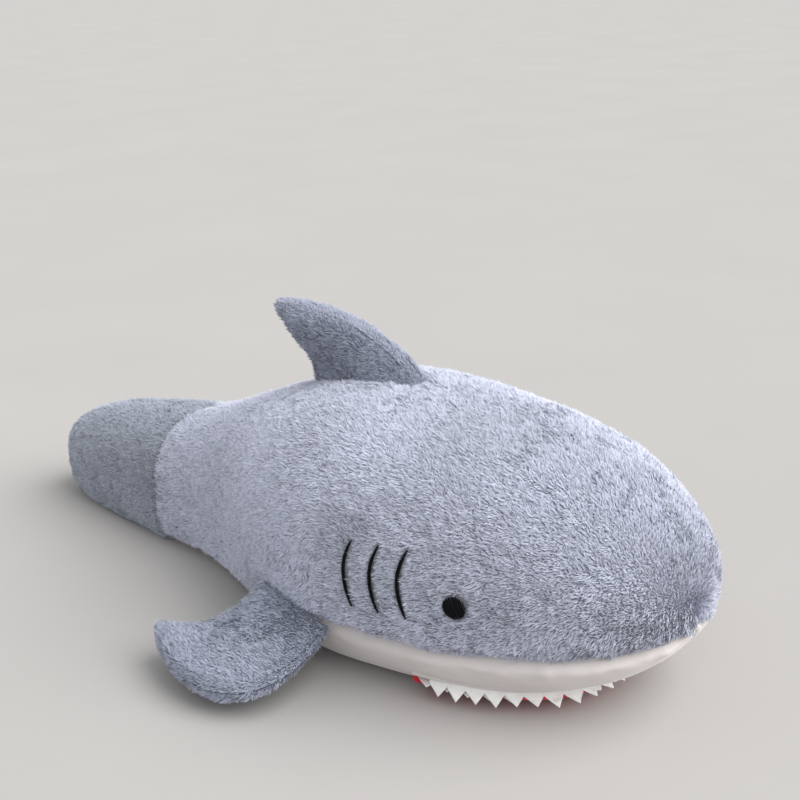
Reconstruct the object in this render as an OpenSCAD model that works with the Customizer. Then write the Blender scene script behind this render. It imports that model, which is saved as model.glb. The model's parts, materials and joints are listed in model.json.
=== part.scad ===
// Plush shark, a soft toy about as long as an arm, lying on its belly.
// +X points to the nose, +Y to its left and +Z up. The floor is z = 0.
// Every skin is a sewn fabric panel of real thickness over a cushion of stuffing.

/* [Body] */
// Length from the nose to the end of the tail
body_length = 800; // [700:10:900]
// Greatest width of the body
body_width = 278; // [220:2:280]
// Greatest height of the body
body_height = 226; // [200:2:250]
// Height of the widest level of the body
widest_level = 104; // [90:1:115]
// Distance from the nose back to the widest station
nose_length = 290; // [200:5:300]
// Height of the tip of the nose
nose_level = 100; // [80:1:115]
// How blunt the nose is, where 2 is an ellipse
nose_bluntness = 2.25; // [2:0.05:3]
// How blunt the chin under the nose is
chin_bluntness = 2.3; // [2:0.05:3]
// How far the round underside is pressed flat by the floor
belly_flat = 10; // [4:1:16]

/* [Tail] */
// Width of the body where the tail bends
stock_width = 130; // [120:2:160]
// Height of the body where the tail bends
stock_height = 140; // [110:2:150]
// Length of the tail cushion behind the bend
tail_length = 232; // [200:2:260]
// Half the angle of the pocket that lets the tail swing
tail_pocket = 20; // [16:1:26]

/* [Fabric] */
// Thickness of the furry panels with their backing
fur_cloth = 3; // [2:0.5:4]
// Thickness of the smooth white panels of the belly and snout
plush_cloth = 1.8; // [1.2:0.1:3]
// Thickness of the felt in the teeth
felt = 1.2; // [1:0.1:2]
// Thickness of the satin-stitched embroidery
stitching = 1; // [0.8:0.1:1.5]

/* [Mouth] */
// Height of the upper lip above the floor
lip_level = 20; // [18:1:36]
// Distance from the nose back to the corners of the mouth
mouth_length = 200; // [150:2:240]
// Clear space between the two halves of the mouth
mouth_gap = 1; // [0.6:0.1:2]
// Length of a tooth
tooth_length = 8; // [8:0.5:13]
// Number of teeth in the upper strip
upper_tooth_count = 22; // [15:1:31]
// Number of teeth in the lower strip
lower_tooth_count = 21; // [13:1:27]

/* [Fins] */
// Length of the seam of each side fin
side_fin_root = 88; // [70:2:100]
// How far each side fin reaches out from its seam
side_fin_reach = 122; // [100:2:130]
// How far the tip of each side fin sweeps back
side_fin_sweep = 98; // [70:2:120]
// Thickness of a side fin's cushion
side_fin_plump = 34; // [20:2:40]
// Height of the seam of each side fin
side_fin_level = 52; // [44:1:60]
// Station of the middle of the side fin seam
side_fin_station = 84; // [40:2:90]
// Length of the seam of the dorsal fin
dorsal_root = 128; // [100:2:150]
// Height of the dorsal fin
dorsal_height = 68; // [60:2:110]
// How far the tip of the dorsal fin sweeps back past its seam
dorsal_sweep = 46; // [20:2:70]
// Thickness of the dorsal fin's cushion
dorsal_plump = 30; // [16:2:36]
// Station of the rear end of the dorsal fin
dorsal_station = -6; // [-30:2:20]

/* [Face] */
// Width of an eye
eye_width = 19; // [14:1:26]
// Distance of the eyes behind the nose
eye_station = 148; // [120:2:180]
// Height of the eyes above the floor
eye_level = 104; // [80:2:120]
// Length of a gill line
gill_length = 58; // [40:2:70]
// Width of a gill line
gill_width = 4; // [3:0.5:6]

/* [Hidden] */

grey_fur = [0.66, 0.68, 0.73];
fin_fur = [0.53, 0.57, 0.65];
white_plush = [0.90, 0.88, 0.84];
red_plush = [0.85, 0.16, 0.18];
white_felt = [0.96, 0.96, 0.94];
black_thread = [0.07, 0.07, 0.08];
stuffing_white = [0.97, 0.97, 0.96];

left = 1;
right = -1;

// Places along the body
nose_x = body_length / 2;
wide_x = nose_x - nose_length;
bend_x = -body_length / 2 + tail_length;
mouth_x = nose_x - mouth_length;

// Shape of a section: exponents of the round above and below the widest level
upper_round = 2.15;
lower_round = 4;
// The round below the widest level at the tip of the nose
chin_round = 2.6;
// Height of the widest level at the tail bend, as a share of the body's height there
stock_middle = 0.47;
// How late the body swells in front of the tail, where 1 is a plain sine
width_lag = 2.1;
height_lag = 1.25;

// ---- Body surface ----
// A station u runs from -1 to 0 round the closed rear end inside the tail, from 0 to 1
// between the tail bend and the widest place, and from 1 to 2 from there to the nose.
// An angle a runs from -90 on the belly to 0 at the widest level and 90 on the back.

function mix(from, to, part) = from + (to - from) * part;
function power(base, exponent) = pow(max(base, 0), exponent);
function swell(u, lag) = power(sin(90 * min(max(u, 0), 1)), lag);
function nose_angle(u) = 90 * min(max(u - 1, 0), 1);
function nose_reach(u) = power(sin(nose_angle(u)), 2 / nose_bluntness);
function nose_round(u, bluntness) = power(cos(nose_angle(u)), 2 / bluntness);

function under_round(u) = mix(lower_round, chin_round, sin(nose_angle(u)));

function station_x(u, inset) =
    u <= 1 ? mix(bend_x, wide_x, max(u, 0))
           : wide_x + (nose_length - inset) * nose_reach(u);
function half_width(u) =
    u <= 1 ? mix(stock_width, body_width, swell(u, width_lag)) / 2
           : body_width / 2 * nose_round(u, nose_bluntness);
function top_level(u) =
    u <= 1 ? mix(stock_height, body_height, swell(u, height_lag))
           : mix(nose_level, body_height, nose_round(u, nose_bluntness));
function middle_level(u) =
    u <= 1 ? mix(stock_height * stock_middle, widest_level, swell(u, height_lag))
           : mix(nose_level, widest_level, nose_round(u, nose_bluntness));
function low_level(u) =
    u <= 1 ? -belly_flat
           : mix(nose_level, -belly_flat, nose_round(u, chin_bluntness));

function section_width(u, a, inset) =
    max(half_width(u) - inset, 0.01)
    * power(abs(cos(a)), 2 / (a < 0 ? under_round(u) : upper_round));
function section_level(u, a, inset) =
    a < 0
    ? middle_level(u) - max(middle_level(u) - low_level(u) - inset, 0.01)
        * power(abs(sin(a)), 2 / under_round(u))
    : middle_level(u) + max(top_level(u) - middle_level(u) - inset, 0.01)
        * power(abs(sin(a)), 2 / upper_round);

function bend_angle(u) = -90 * min(u, 0);
// The closed rear end sits inside the tail, so it is smaller by the tail's cloth and gap,
// and it starts just behind the bend
tail_gap = 1.3;
cap_step = fur_cloth + tail_gap + 0.4;
cap_setback = 0.3;
function body_point(u, a, side, inset, floor_level = 0) =
    let (depth = inset + (u < 0 ? cap_step : 0), half = section_width(u, a, depth))
    [
        station_x(u, inset) - half * sin(bend_angle(u)) - (u < 0 ? cap_setback : 0),
        side * half * cos(bend_angle(u)),
        max(section_level(u, a, depth), floor_level + depth)
    ];

// Station at which the body reaches a place along its length
function station_at(x) =
    x <= wide_x ? (x - bend_x) / (wide_x - bend_x)
                : 1 + asin(power((x - wide_x) / nose_length, nose_bluntness / 2)) / 90;
// Angle below the widest level at which the surface reaches a height
function angle_at_level(u, level, inset = 0) =
    -asin(min(1, power(
        (middle_level(u) - level - inset)
        / max(middle_level(u) - low_level(u) - inset, 0.01), under_round(u) / 2)));
// Angle above the widest level at which the surface reaches a height
function angle_above(u, level) =
    asin(min(1, power((level - middle_level(u)) / (top_level(u) - middle_level(u)),
        upper_round / 2)));

// The seam between fur and white plush
seam_level_rear = 6;
seam_level_chest = 47;
seam_lag = 3;
seam_level_nose = 76;
seam_rise = 1.6;
function seam_level(u) =
    u < 1 ? mix(seam_level_rear, seam_level_chest, power(max(u, 0), seam_lag))
          : mix(seam_level_chest, seam_level_nose, power(sin(nose_angle(u)), seam_rise));
function seam_angle(u, inset = 0) =
    low_level(u) > seam_level(u) ? -90 : angle_at_level(u, seam_level(u), 0);

mouth_u = station_at(mouth_x);
// Station at which the rising underside of the nose meets the upper lip
lip_end_u = 1 + acos(power(
    (nose_level - lip_level) / (nose_level + belly_flat), chin_bluntness / 2)) / 90;
// Station just before it meets the seam between fur and white plush, found by halving
seam_end_step = 0.004;
function seam_meets(low, high, turns = 20) =
    let (u = (low + high) / 2)
    turns == 0 ? low
        : low_level(u) < seam_level(u) ? seam_meets(u, high, turns - 1)
        : seam_meets(low, u, turns - 1);
seam_end_u = seam_meets(lip_end_u, 2) - seam_end_step;
function lip_angle(u, inset) =
    u >= lip_end_u ? -90 : angle_at_level(u, lip_level, inset);

// The wall at the back of the mouth leans forward by this part of a station
wall_step = 0.002;
function steps(from, to, count) = [for (i = [0 : count]) mix(from, to, i / count)];
rear_stations = concat(steps(-0.995, -0.001, 5), steps(0, 1, 12));
chest_stations = [for (u = steps(1, mouth_u, 2)) if (u > 1) u];
mouth_stations = steps(mouth_u + wall_step, lip_end_u, 8);
chin_stations = [for (u = steps(lip_end_u, seam_end_u, 3)) if (u > lip_end_u) u];
nose_stations = [for (u = steps(seam_end_u, 1.99, 5)) if (u > seam_end_u) u];
belly_stations = concat(rear_stations, chest_stations);
snout_stations = concat(mouth_stations, chin_stations);
body_stations = concat(belly_stations, snout_stations, nose_stations);
back_columns = 9;
low_columns = 8;

// ---- Solids from grids ----
// A closed solid between two grids of points of the same size, the first one outermost.
// Points that coincide with the one before them in a row, or with the other grid's, are
// used once, and a triangle that shrinks to a line is left out.
function same(p, q) = norm(p - q) < 0.00001;
function first_same(row, j) = j > 0 && same(row[j], row[j - 1]) ? first_same(row, j - 1) : j;
module between(outer, inner) {
    rows = len(outer);
    columns = len(outer[0]);
    count = rows * columns;
    points = concat([for (row = outer) each row], [for (row = inner) each row]);
    function out(i, j) = i * columns + first_same(outer[i], j);
    function into(i, j) = same(inner[i][j], outer[i][j]) ? out(i, j)
        : count + i * columns + first_same(inner[i], j);
    sides = concat(
        [for (i = [0 : rows - 2], j = [0 : columns - 2]) each [
            [out(i, j), out(i + 1, j), out(i + 1, j + 1)],
            [out(i, j), out(i + 1, j + 1), out(i, j + 1)],
            [into(i, j), into(i + 1, j + 1), into(i + 1, j)],
            [into(i, j), into(i, j + 1), into(i + 1, j + 1)]
        ]],
        [for (i = [0 : rows - 2]) each [
            [out(i, 0), into(i, 0), into(i + 1, 0)],
            [out(i, 0), into(i + 1, 0), out(i + 1, 0)],
            [out(i, columns - 1), out(i + 1, columns - 1), into(i + 1, columns - 1)],
            [out(i, columns - 1), into(i + 1, columns - 1), into(i, columns - 1)]
        ]],
        [for (j = [0 : columns - 2]) each [
            [out(0, j), out(0, j + 1), into(0, j + 1)],
            [out(0, j), into(0, j + 1), into(0, j)],
            [out(rows - 1, j), into(rows - 1, j), into(rows - 1, j + 1)],
            [out(rows - 1, j), into(rows - 1, j + 1), out(rows - 1, j + 1)]
        ]]
    );
    whole = [for (t = sides) if (t[0] != t[1] && t[1] != t[2] && t[2] != t[0]) t];
    polyhedron(points, whole, convexity = 6);
}
function turned(grid) = [for (row = grid) [for (j = [len(row) - 1 : -1 : 0]) row[j]]];
// The same for either side of the body: on the right, the mirrored grids face the other way
module solid_between(outer, inner, side = left) {
    if (side == left) between(outer, inner);
    else between(inner, outer);
}

// ---- Body panels ----
module back_panel(side) {
    function grid(inset) = [for (u = body_stations)
        [for (a = steps(seam_angle(u), 90, back_columns)) body_point(u, a, side, inset)]];
    color(grey_fur) solid_between(grid(0), grid(fur_cloth), side);
}
module back_panel_left() { back_panel(left); }
module back_panel_right() { back_panel(right); }

module belly_panel() {
    function half_row(u, side, inset) = [for (a = steps(-90, seam_angle(u), low_columns))
        body_point(u, a, side, inset)];
    function grid(inset) = [for (u = belly_stations) concat(
        [for (k = [low_columns : -1 : 1]) half_row(u, right, inset)[k]],
        half_row(u, left, inset))];
    color(white_plush) between(grid(0), grid(plush_cloth));
}

module snout_panel(side) {
    function grid(inset) = [for (u = snout_stations)
        [for (a = steps(lip_angle(u, inset), seam_angle(u), low_columns / 2))
            body_point(u, a, side, inset, u < lip_end_u ? lip_level : 0)]];
    color(white_plush) solid_between(grid(0), grid(plush_cloth), side);
}
module snout_panel_left() { snout_panel(left); }
module snout_panel_right() { snout_panel(right); }

module body_stuffing() {
    function roof(u, in_mouth) = in_mouth && u < lip_end_u ? lip_level : 0;
    function ring(u, in_mouth) = concat(
        [for (a = steps(-90, seam_angle(u), low_columns))
            body_point(u, a, left, fur_cloth, roof(u, in_mouth))],
        [for (k = [1 : back_columns])
            body_point(u, mix(seam_angle(u), 90, k / back_columns), left, fur_cloth,
                roof(u, in_mouth))]);
    rings = concat([for (u = belly_stations) ring(u, false)],
        [for (u = concat(snout_stations, nose_stations)) ring(u, true)]);
    mirrored = [for (row = rings) [for (p = row) [p.x, -p.y, p.z]]];
    color(stuffing_white) between(rings, mirrored);
}

// ---- Mouth ----
// The outline of the mouth, seen from below, and the pad of the lower jaw inside it
function lip_point(u, side, inset = 0) =
    body_point(u, lip_angle(u, inset), side, inset, lip_level);
jaw_scale_long = 0.95;
jaw_scale_wide = 0.91;
jaw_top = lip_level - mouth_gap - felt;
jaw_round = 3;
jaw_rings = 7;
// Rough measures of the jaw, which turn an inset into a scale
jaw_length = 150;
jaw_half_width = 110;
jaw_back = mouth_x + 1.5;
jaw_rim = [for (side = [left, right])
    for (k = [0 : len(mouth_stations) - 1])
        let (i = side == left ? k : len(mouth_stations) - 1 - k)
        if (side == left || k > 0)
            lip_point(mouth_stations[i], side)];

module upper_mouth_lining() {
    function grid(inset) = [for (u = mouth_stations)
        let (edge = lip_point(u, left, inset))
        [for (part = steps(-1, 1, 8)) [edge.x, part * edge.y, lip_level + inset]]];
    color(red_plush) between(grid(0), grid(fur_cloth));
}

function jaw_point(p, ring, inset, top) =
    [
        jaw_back + (p.x - mouth_x) * jaw_scale_long * ring * (1 - inset / jaw_length),
        p.y * jaw_scale_wide * ring * (1 - inset / jaw_half_width),
        top - (top - inset) * power(1 - pow(ring, jaw_round), 1 / jaw_round)
    ];
function jaw_bowl(inset, top) = [for (p = jaw_rim)
    [for (ring = steps(0, 1, jaw_rings)) jaw_point(p, ring, inset, top)]];
function jaw_lid(inset, level) = [for (p = jaw_rim)
    [for (ring = steps(0, 1, jaw_rings)) let (q = jaw_point(p, ring, inset, level))
        [q.x, q.y, level]]];
jaw_cloth = 2.5;
lining_cloth = 2.5;

module jaw_panel() {
    color(white_plush) between(jaw_bowl(0, jaw_top - lining_cloth),
        jaw_bowl(jaw_cloth, jaw_top - lining_cloth));
}
module jaw_stuffing() {
    color(stuffing_white) between(jaw_bowl(jaw_cloth, jaw_top - lining_cloth),
        jaw_lid(jaw_cloth, jaw_top - lining_cloth));
}
module lower_mouth_lining() {
    color(red_plush) between(jaw_lid(0, jaw_top - lining_cloth), jaw_lid(0, jaw_top));
}

// ---- Teeth ----
// A strip of felt along an outline from corner to corner, its free edge cut in a zigzag
function along(path, part) =
    let (place = part * (len(path) - 1), i = min(floor(place), len(path) - 2))
    mix(path[i], path[i + 1], place - i);
function outward(path, part) =
    let (d = along(path, min(part + 0.01, 1)) - along(path, max(part - 0.01, 0)))
    [-d.y, d.x, 0] / norm([d.x, d.y]);
module teeth_strip(path, count, root_level, notch_drop, tip_drop, lean) {
    function grid(shift) = [for (k = [0 : 2 * count])
        let (
            part = k / (2 * count),
            base = along(path, part),
            drop = k % 2 == 1 ? tip_drop : notch_drop,
            out = outward(path, part)
        )
        [
            [base.x, base.y, root_level] + out * shift,
            [base.x, base.y, root_level - drop] + out * (shift + lean * abs(drop))
        ]];
    color(white_felt) between(grid(0), grid(felt));
}
tooth_band = 2.5;
// The upper strip runs just inside the lip, the lower one round the rim of the jaw
upper_strip_long = 0.98;
upper_strip_wide = 0.97;
lower_strip_inset = 4;
module upper_teeth() {
    path = [for (side = [left, right])
        for (k = [0 : len(mouth_stations) - 1])
            let (i = side == left ? k : len(mouth_stations) - 1 - k)
            if (side == left || k > 0)
                let (p = lip_point(mouth_stations[i], side))
                [mouth_x + (p.x - mouth_x) * upper_strip_long, p.y * upper_strip_wide, 0]];
    teeth_strip(path, upper_tooth_count, lip_level, tooth_band, tooth_band + tooth_length, 0);
}
// The lower strip leans outward from the rim of the jaw, under the lip
module lower_teeth() {
    path = [for (p = jaw_rim) let (q = jaw_point(p, 1, lower_strip_inset, 0)) [q.x, q.y, 0]];
    teeth_strip(path, lower_tooth_count, lip_level, 1, 2, 2);
}

// ---- Face embroidery ----
// A patch of thread that follows the skin and stands proud of it
function face_point(x, level, side, proud) =
    let (u = station_at(x))
    body_point(u, level < middle_level(u) ? angle_at_level(u, level) : angle_above(u, level),
        side, -proud);
eye_end = 0.985;
eye_crown = 0.4;
function eye_grid(side, proud, crown) = [for (along_eye = steps(-eye_end, eye_end, 12))
    [for (across = steps(-1, 1, 8))
        let (rise = across * sqrt(1 - along_eye * along_eye))
        face_point(
            nose_x - eye_station + along_eye * eye_width / 2,
            eye_level + rise * eye_width / 2,
            side, proud + crown * (1 - along_eye * along_eye - rise * rise))]];
module eye(side) {
    color(black_thread)
    solid_between(eye_grid(side, stitching, eye_crown), eye_grid(side, 0.1, 0), side);
}
module left_eye() { eye(left); }
module right_eye() { eye(right); }

gill_pitch = 27;
gill_station = 205;
gill_bow = 7;
gill_lift = 8.5;
gill_drop = 2.5;
function gill_grid(i, side, proud) = [for (part = steps(-1, 1, 8))
    [for (edge = [-1, 1])
        face_point(
            gill_station - i * gill_pitch + gill_bow * (part * part - 0.5)
                + edge * gill_width / 2 * (1.05 - pow(part, 4)),
            eye_level + gill_lift - i * gill_drop + part * gill_length / 2,
            side, proud)]];
module gills(side) {
    color(black_thread)
    for (i = [0 : 2])
        solid_between(gill_grid(i, side, 0.1), gill_grid(i, side, stitching), side);
}
module left_gills() { gills(left); }
module right_gills() { gills(right); }

// ---- Fins ----
// A fin is a lens-shaped pouch: two skins of equal cut over a cushion.
// Its chord runs between a leading and a trailing edge, each a Bezier curve.
function bezier(p, t) =
    p[0] * pow(1 - t, 3) + 3 * p[1] * t * pow(1 - t, 2) + 3 * p[2] * t * t * (1 - t)
    + p[3] * pow(t, 3);
function lens(span, chord, root_share) =
    sqrt(max(0, 1 - pow(2 * chord - 1, 2)))
    * (span < 0.5 ? mix(root_share, 1, sin(180 * span)) : power(cos(180 * (span - 0.5)), 0.5));
fin_rows = 10;
fin_columns = 8;

// Side fin: the seam line stands just off the body
fin_gap = 4;
fin_root_share = 0.12;
// How far the stuffing holds the tip above the middle of the fin
side_fin_lift = 12;
function side_fin_end(x, side) =
    let (u = station_at(x), p = body_point(u, angle_at_level(u, side_fin_level), side, 0))
    [p.x, p.y + side * fin_gap, side_fin_level];
function side_fin_rear(side) = side_fin_end(side_fin_station - side_fin_root / 2, side);
function side_fin_front(side) = side_fin_end(side_fin_station + side_fin_root / 2, side);
module side_fin_layer(side, top_skin, low_skin) {
    rear = side_fin_rear(side);
    front = side_fin_front(side);
    tip = (rear + front) / 2 + [-side_fin_sweep, side * side_fin_reach * 0.6, 0];
    leading = [front, front + [42, side * side_fin_reach * 0.95, 0],
        tip + [58, side * side_fin_reach * 0.42, 0], tip];
    trailing = [rear, rear + [-20, side * 18, 0], tip + [26, -side * 12, 0], tip];
    function middle(span, chord) = mix(bezier(trailing, span), bezier(leading, span), chord);
    function droop(span) = mix(side_fin_level - fur_cloth, side_fin_plump / 2 + fur_cloth,
        sin(90 * min(1, span * 1.6))) + side_fin_lift * span * span;
    function grid(above, skin) = [for (span = steps(0, 1, fin_rows))
        [for (chord = steps(0, 1, fin_columns))
            let (p = middle(span, chord), half = side_fin_plump / 2
                * lens(span, chord, fin_root_share) + skin)
            [p.x, p.y, droop(span) + above * half]]];
    solid_between(grid(top_skin[0], top_skin[1]), grid(low_skin[0], low_skin[1]), side);
}
module side_fin_stuffing(side) {
    color(stuffing_white) side_fin_layer(side, [1, 0], [-1, 0]);
}
module side_fin_upper(side) {
    color(fin_fur) side_fin_layer(side, [1, fur_cloth], [1, 0]);
}
module side_fin_lower(side) {
    color(fin_fur) side_fin_layer(side, [-1, 0], [-1, fur_cloth]);
}
module left_fin_stuffing() { side_fin_stuffing(left); }
module left_fin_upper_panel() { side_fin_upper(left); }
module left_fin_lower_panel() { side_fin_lower(left); }
module right_fin_stuffing() { side_fin_stuffing(right); }
module right_fin_upper_panel() { side_fin_upper(right); }
module right_fin_lower_panel() { side_fin_lower(right); }

// Dorsal fin: its lower edge keeps a small gap to the arched ridge of the back
dorsal_gap = 3.5;
dorsal_root_share = 0.1;
function ridge(x) = [x, 0, top_level(station_at(x)) + dorsal_gap];
dorsal_rear = ridge(dorsal_station);
dorsal_front = ridge(dorsal_station + dorsal_root);
module dorsal_layer(outer_side, outer_skin, inner_side, inner_skin) {
    tip = dorsal_rear + [-dorsal_sweep, 0, dorsal_height];
    leading = [dorsal_front, dorsal_front + [-34, 0, 40], tip + [62, 0, 8], tip];
    trailing = [dorsal_rear, dorsal_rear + [2, 0, 26], tip + [14, 0, -26], tip];
    function arch(chord) = ridge(mix(dorsal_rear.x, dorsal_front.x, chord)).z
        - mix(dorsal_rear.z, dorsal_front.z, chord);
    function middle(span, chord) = mix(bezier(trailing, span), bezier(leading, span), chord)
        + [0, 0, arch(chord) * (1 - span) * (1 - span)];
    function grid(side, skin) = [for (span = steps(0, 1, fin_rows))
        [for (chord = steps(0, 1, fin_columns))
            middle(span, chord)
            + [0, side * (dorsal_plump / 2 * lens(span, chord, dorsal_root_share) + skin), 0]]];
    between(turned(grid(outer_side, outer_skin)), turned(grid(inner_side, inner_skin)));
}
module dorsal_fin_stuffing() { color(stuffing_white) dorsal_layer(1, 0, -1, 0); }
module dorsal_fin_left_panel() { color(fin_fur) dorsal_layer(1, fur_cloth, 1, 0); }
module dorsal_fin_right_panel() { color(fin_fur) dorsal_layer(-1, 0, -1, fur_cloth); }

// ---- Tail ----
// The tail starts at a rim behind the bend and wraps the closed end of the body with a
// small gap, so that it swings about the upright line through the bend.
tail_rows = 9;
tail_columns = 14;
tail_end_level = 40;
tail_end_round = 2.6;
function tail_point(part, a, side, inset) =
    let (
        rim = body_point(0, a, side, inset),
        shrink = power(1 - pow(part, tail_end_round), 1 / tail_end_round),
        taper = mix(1, 0.72, part) * shrink,
        start_x = bend_x - tail_gap - abs(rim.y) * sin(tail_pocket),
        middle = mix(middle_level(0), tail_end_level, part)
    )
    [
        mix(start_x, -body_length / 2 + inset, sin(90 * part)),
        rim.y * cos(tail_pocket) * taper,
        max(middle + (section_level(0, a, inset) - middle_level(0)) * taper, inset)
    ];
function pocket_point(part, a, side) =
    let (wall = body_point(0, a, side, cap_step - tail_gap),
        turn = mix(90, tail_pocket, part))
    [bend_x - tail_gap - abs(wall.y) * sin(turn), wall.y * cos(turn), wall.z];
tail_angles = steps(-90, 90, tail_columns);
module tail_panel(side) {
    function grid(inset) = [for (part = steps(0, 1, tail_rows))
        [for (a = tail_angles) tail_point(part, a, side, inset)]];
    color(fin_fur) solid_between(turned(grid(0)), turned(grid(fur_cloth)), side);
}
module tail_panel_left() { tail_panel(left); }
module tail_panel_right() { tail_panel(right); }
module tail_stuffing() {
    function grid(side) = concat(
        [for (part = steps(0, 1, 4)) [for (a = tail_angles) pocket_point(part, a, side)]],
        [for (part = steps(0, 1, tail_rows))
            [for (a = tail_angles) tail_point(part, a, side, fur_cloth)]]);
    color(stuffing_white) between(turned(grid(left)), turned(grid(right)));
}

body_stuffing();
back_panel_left();
back_panel_right();
belly_panel();
snout_panel_left();
snout_panel_right();
upper_mouth_lining();
upper_teeth();
jaw_stuffing();
jaw_panel();
lower_mouth_lining();
lower_teeth();
left_eye();
right_eye();
left_gills();
right_gills();
left_fin_stuffing();
left_fin_upper_panel();
left_fin_lower_panel();
right_fin_stuffing();
right_fin_upper_panel();
right_fin_lower_panel();
dorsal_fin_stuffing();
dorsal_fin_left_panel();
dorsal_fin_right_panel();
tail_stuffing();
tail_panel_left();
tail_panel_right();
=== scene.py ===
"""Plush shark: fur, smooth plush, felt teeth and embroidery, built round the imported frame.

The body is one smooth surface. A station u runs from 0 at the bend of the tail to 1 at the
widest place and on to 2 at the nose. An angle a runs from -90 on the belly to 0 at the widest
level and 90 on the back. Lengths are in metres, and +X points to the nose.
"""
import json
import math

import bpy
import numpy as np
from mathutils import Matrix, Vector


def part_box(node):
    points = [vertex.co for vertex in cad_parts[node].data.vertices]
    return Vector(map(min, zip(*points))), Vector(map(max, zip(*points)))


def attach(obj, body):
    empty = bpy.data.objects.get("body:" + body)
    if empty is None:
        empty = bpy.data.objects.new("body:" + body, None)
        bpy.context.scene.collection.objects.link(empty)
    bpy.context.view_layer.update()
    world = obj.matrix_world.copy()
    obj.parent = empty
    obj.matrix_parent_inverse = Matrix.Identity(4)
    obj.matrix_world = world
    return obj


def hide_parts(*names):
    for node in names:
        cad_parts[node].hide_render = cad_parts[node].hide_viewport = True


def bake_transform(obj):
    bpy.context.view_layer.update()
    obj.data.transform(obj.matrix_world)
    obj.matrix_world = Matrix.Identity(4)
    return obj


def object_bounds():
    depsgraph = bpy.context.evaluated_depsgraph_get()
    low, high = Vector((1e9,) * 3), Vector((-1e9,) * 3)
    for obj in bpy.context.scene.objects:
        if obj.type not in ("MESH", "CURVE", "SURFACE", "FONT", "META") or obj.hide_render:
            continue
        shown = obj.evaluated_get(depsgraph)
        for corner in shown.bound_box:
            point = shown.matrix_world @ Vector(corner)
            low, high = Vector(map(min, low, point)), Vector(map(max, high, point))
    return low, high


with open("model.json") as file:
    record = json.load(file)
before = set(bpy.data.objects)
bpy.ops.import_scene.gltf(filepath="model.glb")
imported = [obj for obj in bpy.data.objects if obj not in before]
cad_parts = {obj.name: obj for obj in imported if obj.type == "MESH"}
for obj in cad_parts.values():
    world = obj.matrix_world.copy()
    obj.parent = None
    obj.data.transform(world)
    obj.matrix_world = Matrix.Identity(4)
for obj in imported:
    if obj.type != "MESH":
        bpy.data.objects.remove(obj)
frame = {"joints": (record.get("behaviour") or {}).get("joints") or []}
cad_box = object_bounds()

MM = 0.001
LEFT, RIGHT = 1, -1
SIDES = ((LEFT, "left"), (RIGHT, "right"))
joints = {joint["name"]: joint for joint in frame["joints"]}

# ---------------------------------------------------------------- places from the frame
NOSE_X = cad_box[1].x
TAIL_X = cad_box[0].x
BEND_X = joints["tail_wag"]["pos_m"][0]
MOUTH_X = joints["jaw_open"]["pos_m"][0] - 1.5 * MM
BODY_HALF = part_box("back_panel_left")[1].y
BODY_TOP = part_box("back_panel_left")[1].z
STOCK_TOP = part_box("tail_panel_left")[1].z
STOCK_HALF = 65 * MM
STOCK_MIDDLE = 0.47            # the widest level at the bend, as a share of its top
WIDE_X = NOSE_X - 290 * MM
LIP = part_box("upper_mouth_lining")[0].z

# ---------------------------------------------------------------- shape of the body
WIDEST_LEVEL = 104 * MM
NOSE_LEVEL = 100 * MM
BELLY_FLAT = 10 * MM
NOSE_BLUNT = 2.25
CHIN_BLUNT = 2.3
UPPER_ROUND = 2.15
LOWER_ROUND = 4.0
CHIN_ROUND = 2.6
WIDTH_LAG = 2.1
HEIGHT_LAG = 1.25
SEAM_REAR, SEAM_CHEST, SEAM_NOSE = 2 * MM, 47 * MM, 76 * MM
SEAM_LAG = 4

# ---------------------------------------------------------------- cloth
FUR_DEPTH = 3.5 * MM        # how far the fur's backing lies below the outer surface
PLUSH_DEPTH = 1.5 * MM      # and how far the smooth plush does
FLOOR_CLEAR = 0.3 * MM      # the lowest that cloth and fur reach above the floor
WELD = 0.02 * MM
SEAM_DIP = 4.5 * MM
SEAM_REACH = 7 * MM


def mix(low, high, part):
    return low + (high - low) * part


def power(base, exponent):
    return np.maximum(base, 0) ** exponent


def swell(u, lag):
    return power(np.sin(np.pi / 2 * np.clip(u, 0, 1)), lag)


def nose_angle(u):
    return np.pi / 2 * np.clip(u - 1, 0, 1)


def under_round(u):
    return mix(LOWER_ROUND, CHIN_ROUND, np.sin(nose_angle(u)))


def along_body(u, rear, chest, nose, lag, blunt):
    """A measure that swells from the tail bend to the chest and rounds off to the nose."""
    behind = mix(rear, chest, swell(u, lag))
    ahead = mix(nose, chest, power(np.cos(nose_angle(u)), 2 / blunt))
    return np.where(u <= 1, behind, ahead)


def station_x(u, inset=0.0):
    ahead = WIDE_X + (NOSE_X - WIDE_X - inset) * power(np.sin(nose_angle(u)), 2 / NOSE_BLUNT)
    return np.where(u <= 1, mix(BEND_X, WIDE_X, u), ahead)


def half_width(u):
    return along_body(u, STOCK_HALF, BODY_HALF, 0.0, WIDTH_LAG, NOSE_BLUNT)


def top_level(u):
    return along_body(u, STOCK_TOP, BODY_TOP, NOSE_LEVEL, HEIGHT_LAG, NOSE_BLUNT)


def middle_level(u):
    return along_body(u, STOCK_TOP * STOCK_MIDDLE, WIDEST_LEVEL, NOSE_LEVEL, HEIGHT_LAG, NOSE_BLUNT)


def low_level(u):
    return along_body(u, -BELLY_FLAT, -BELLY_FLAT, NOSE_LEVEL, 1.0, CHIN_BLUNT)


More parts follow.
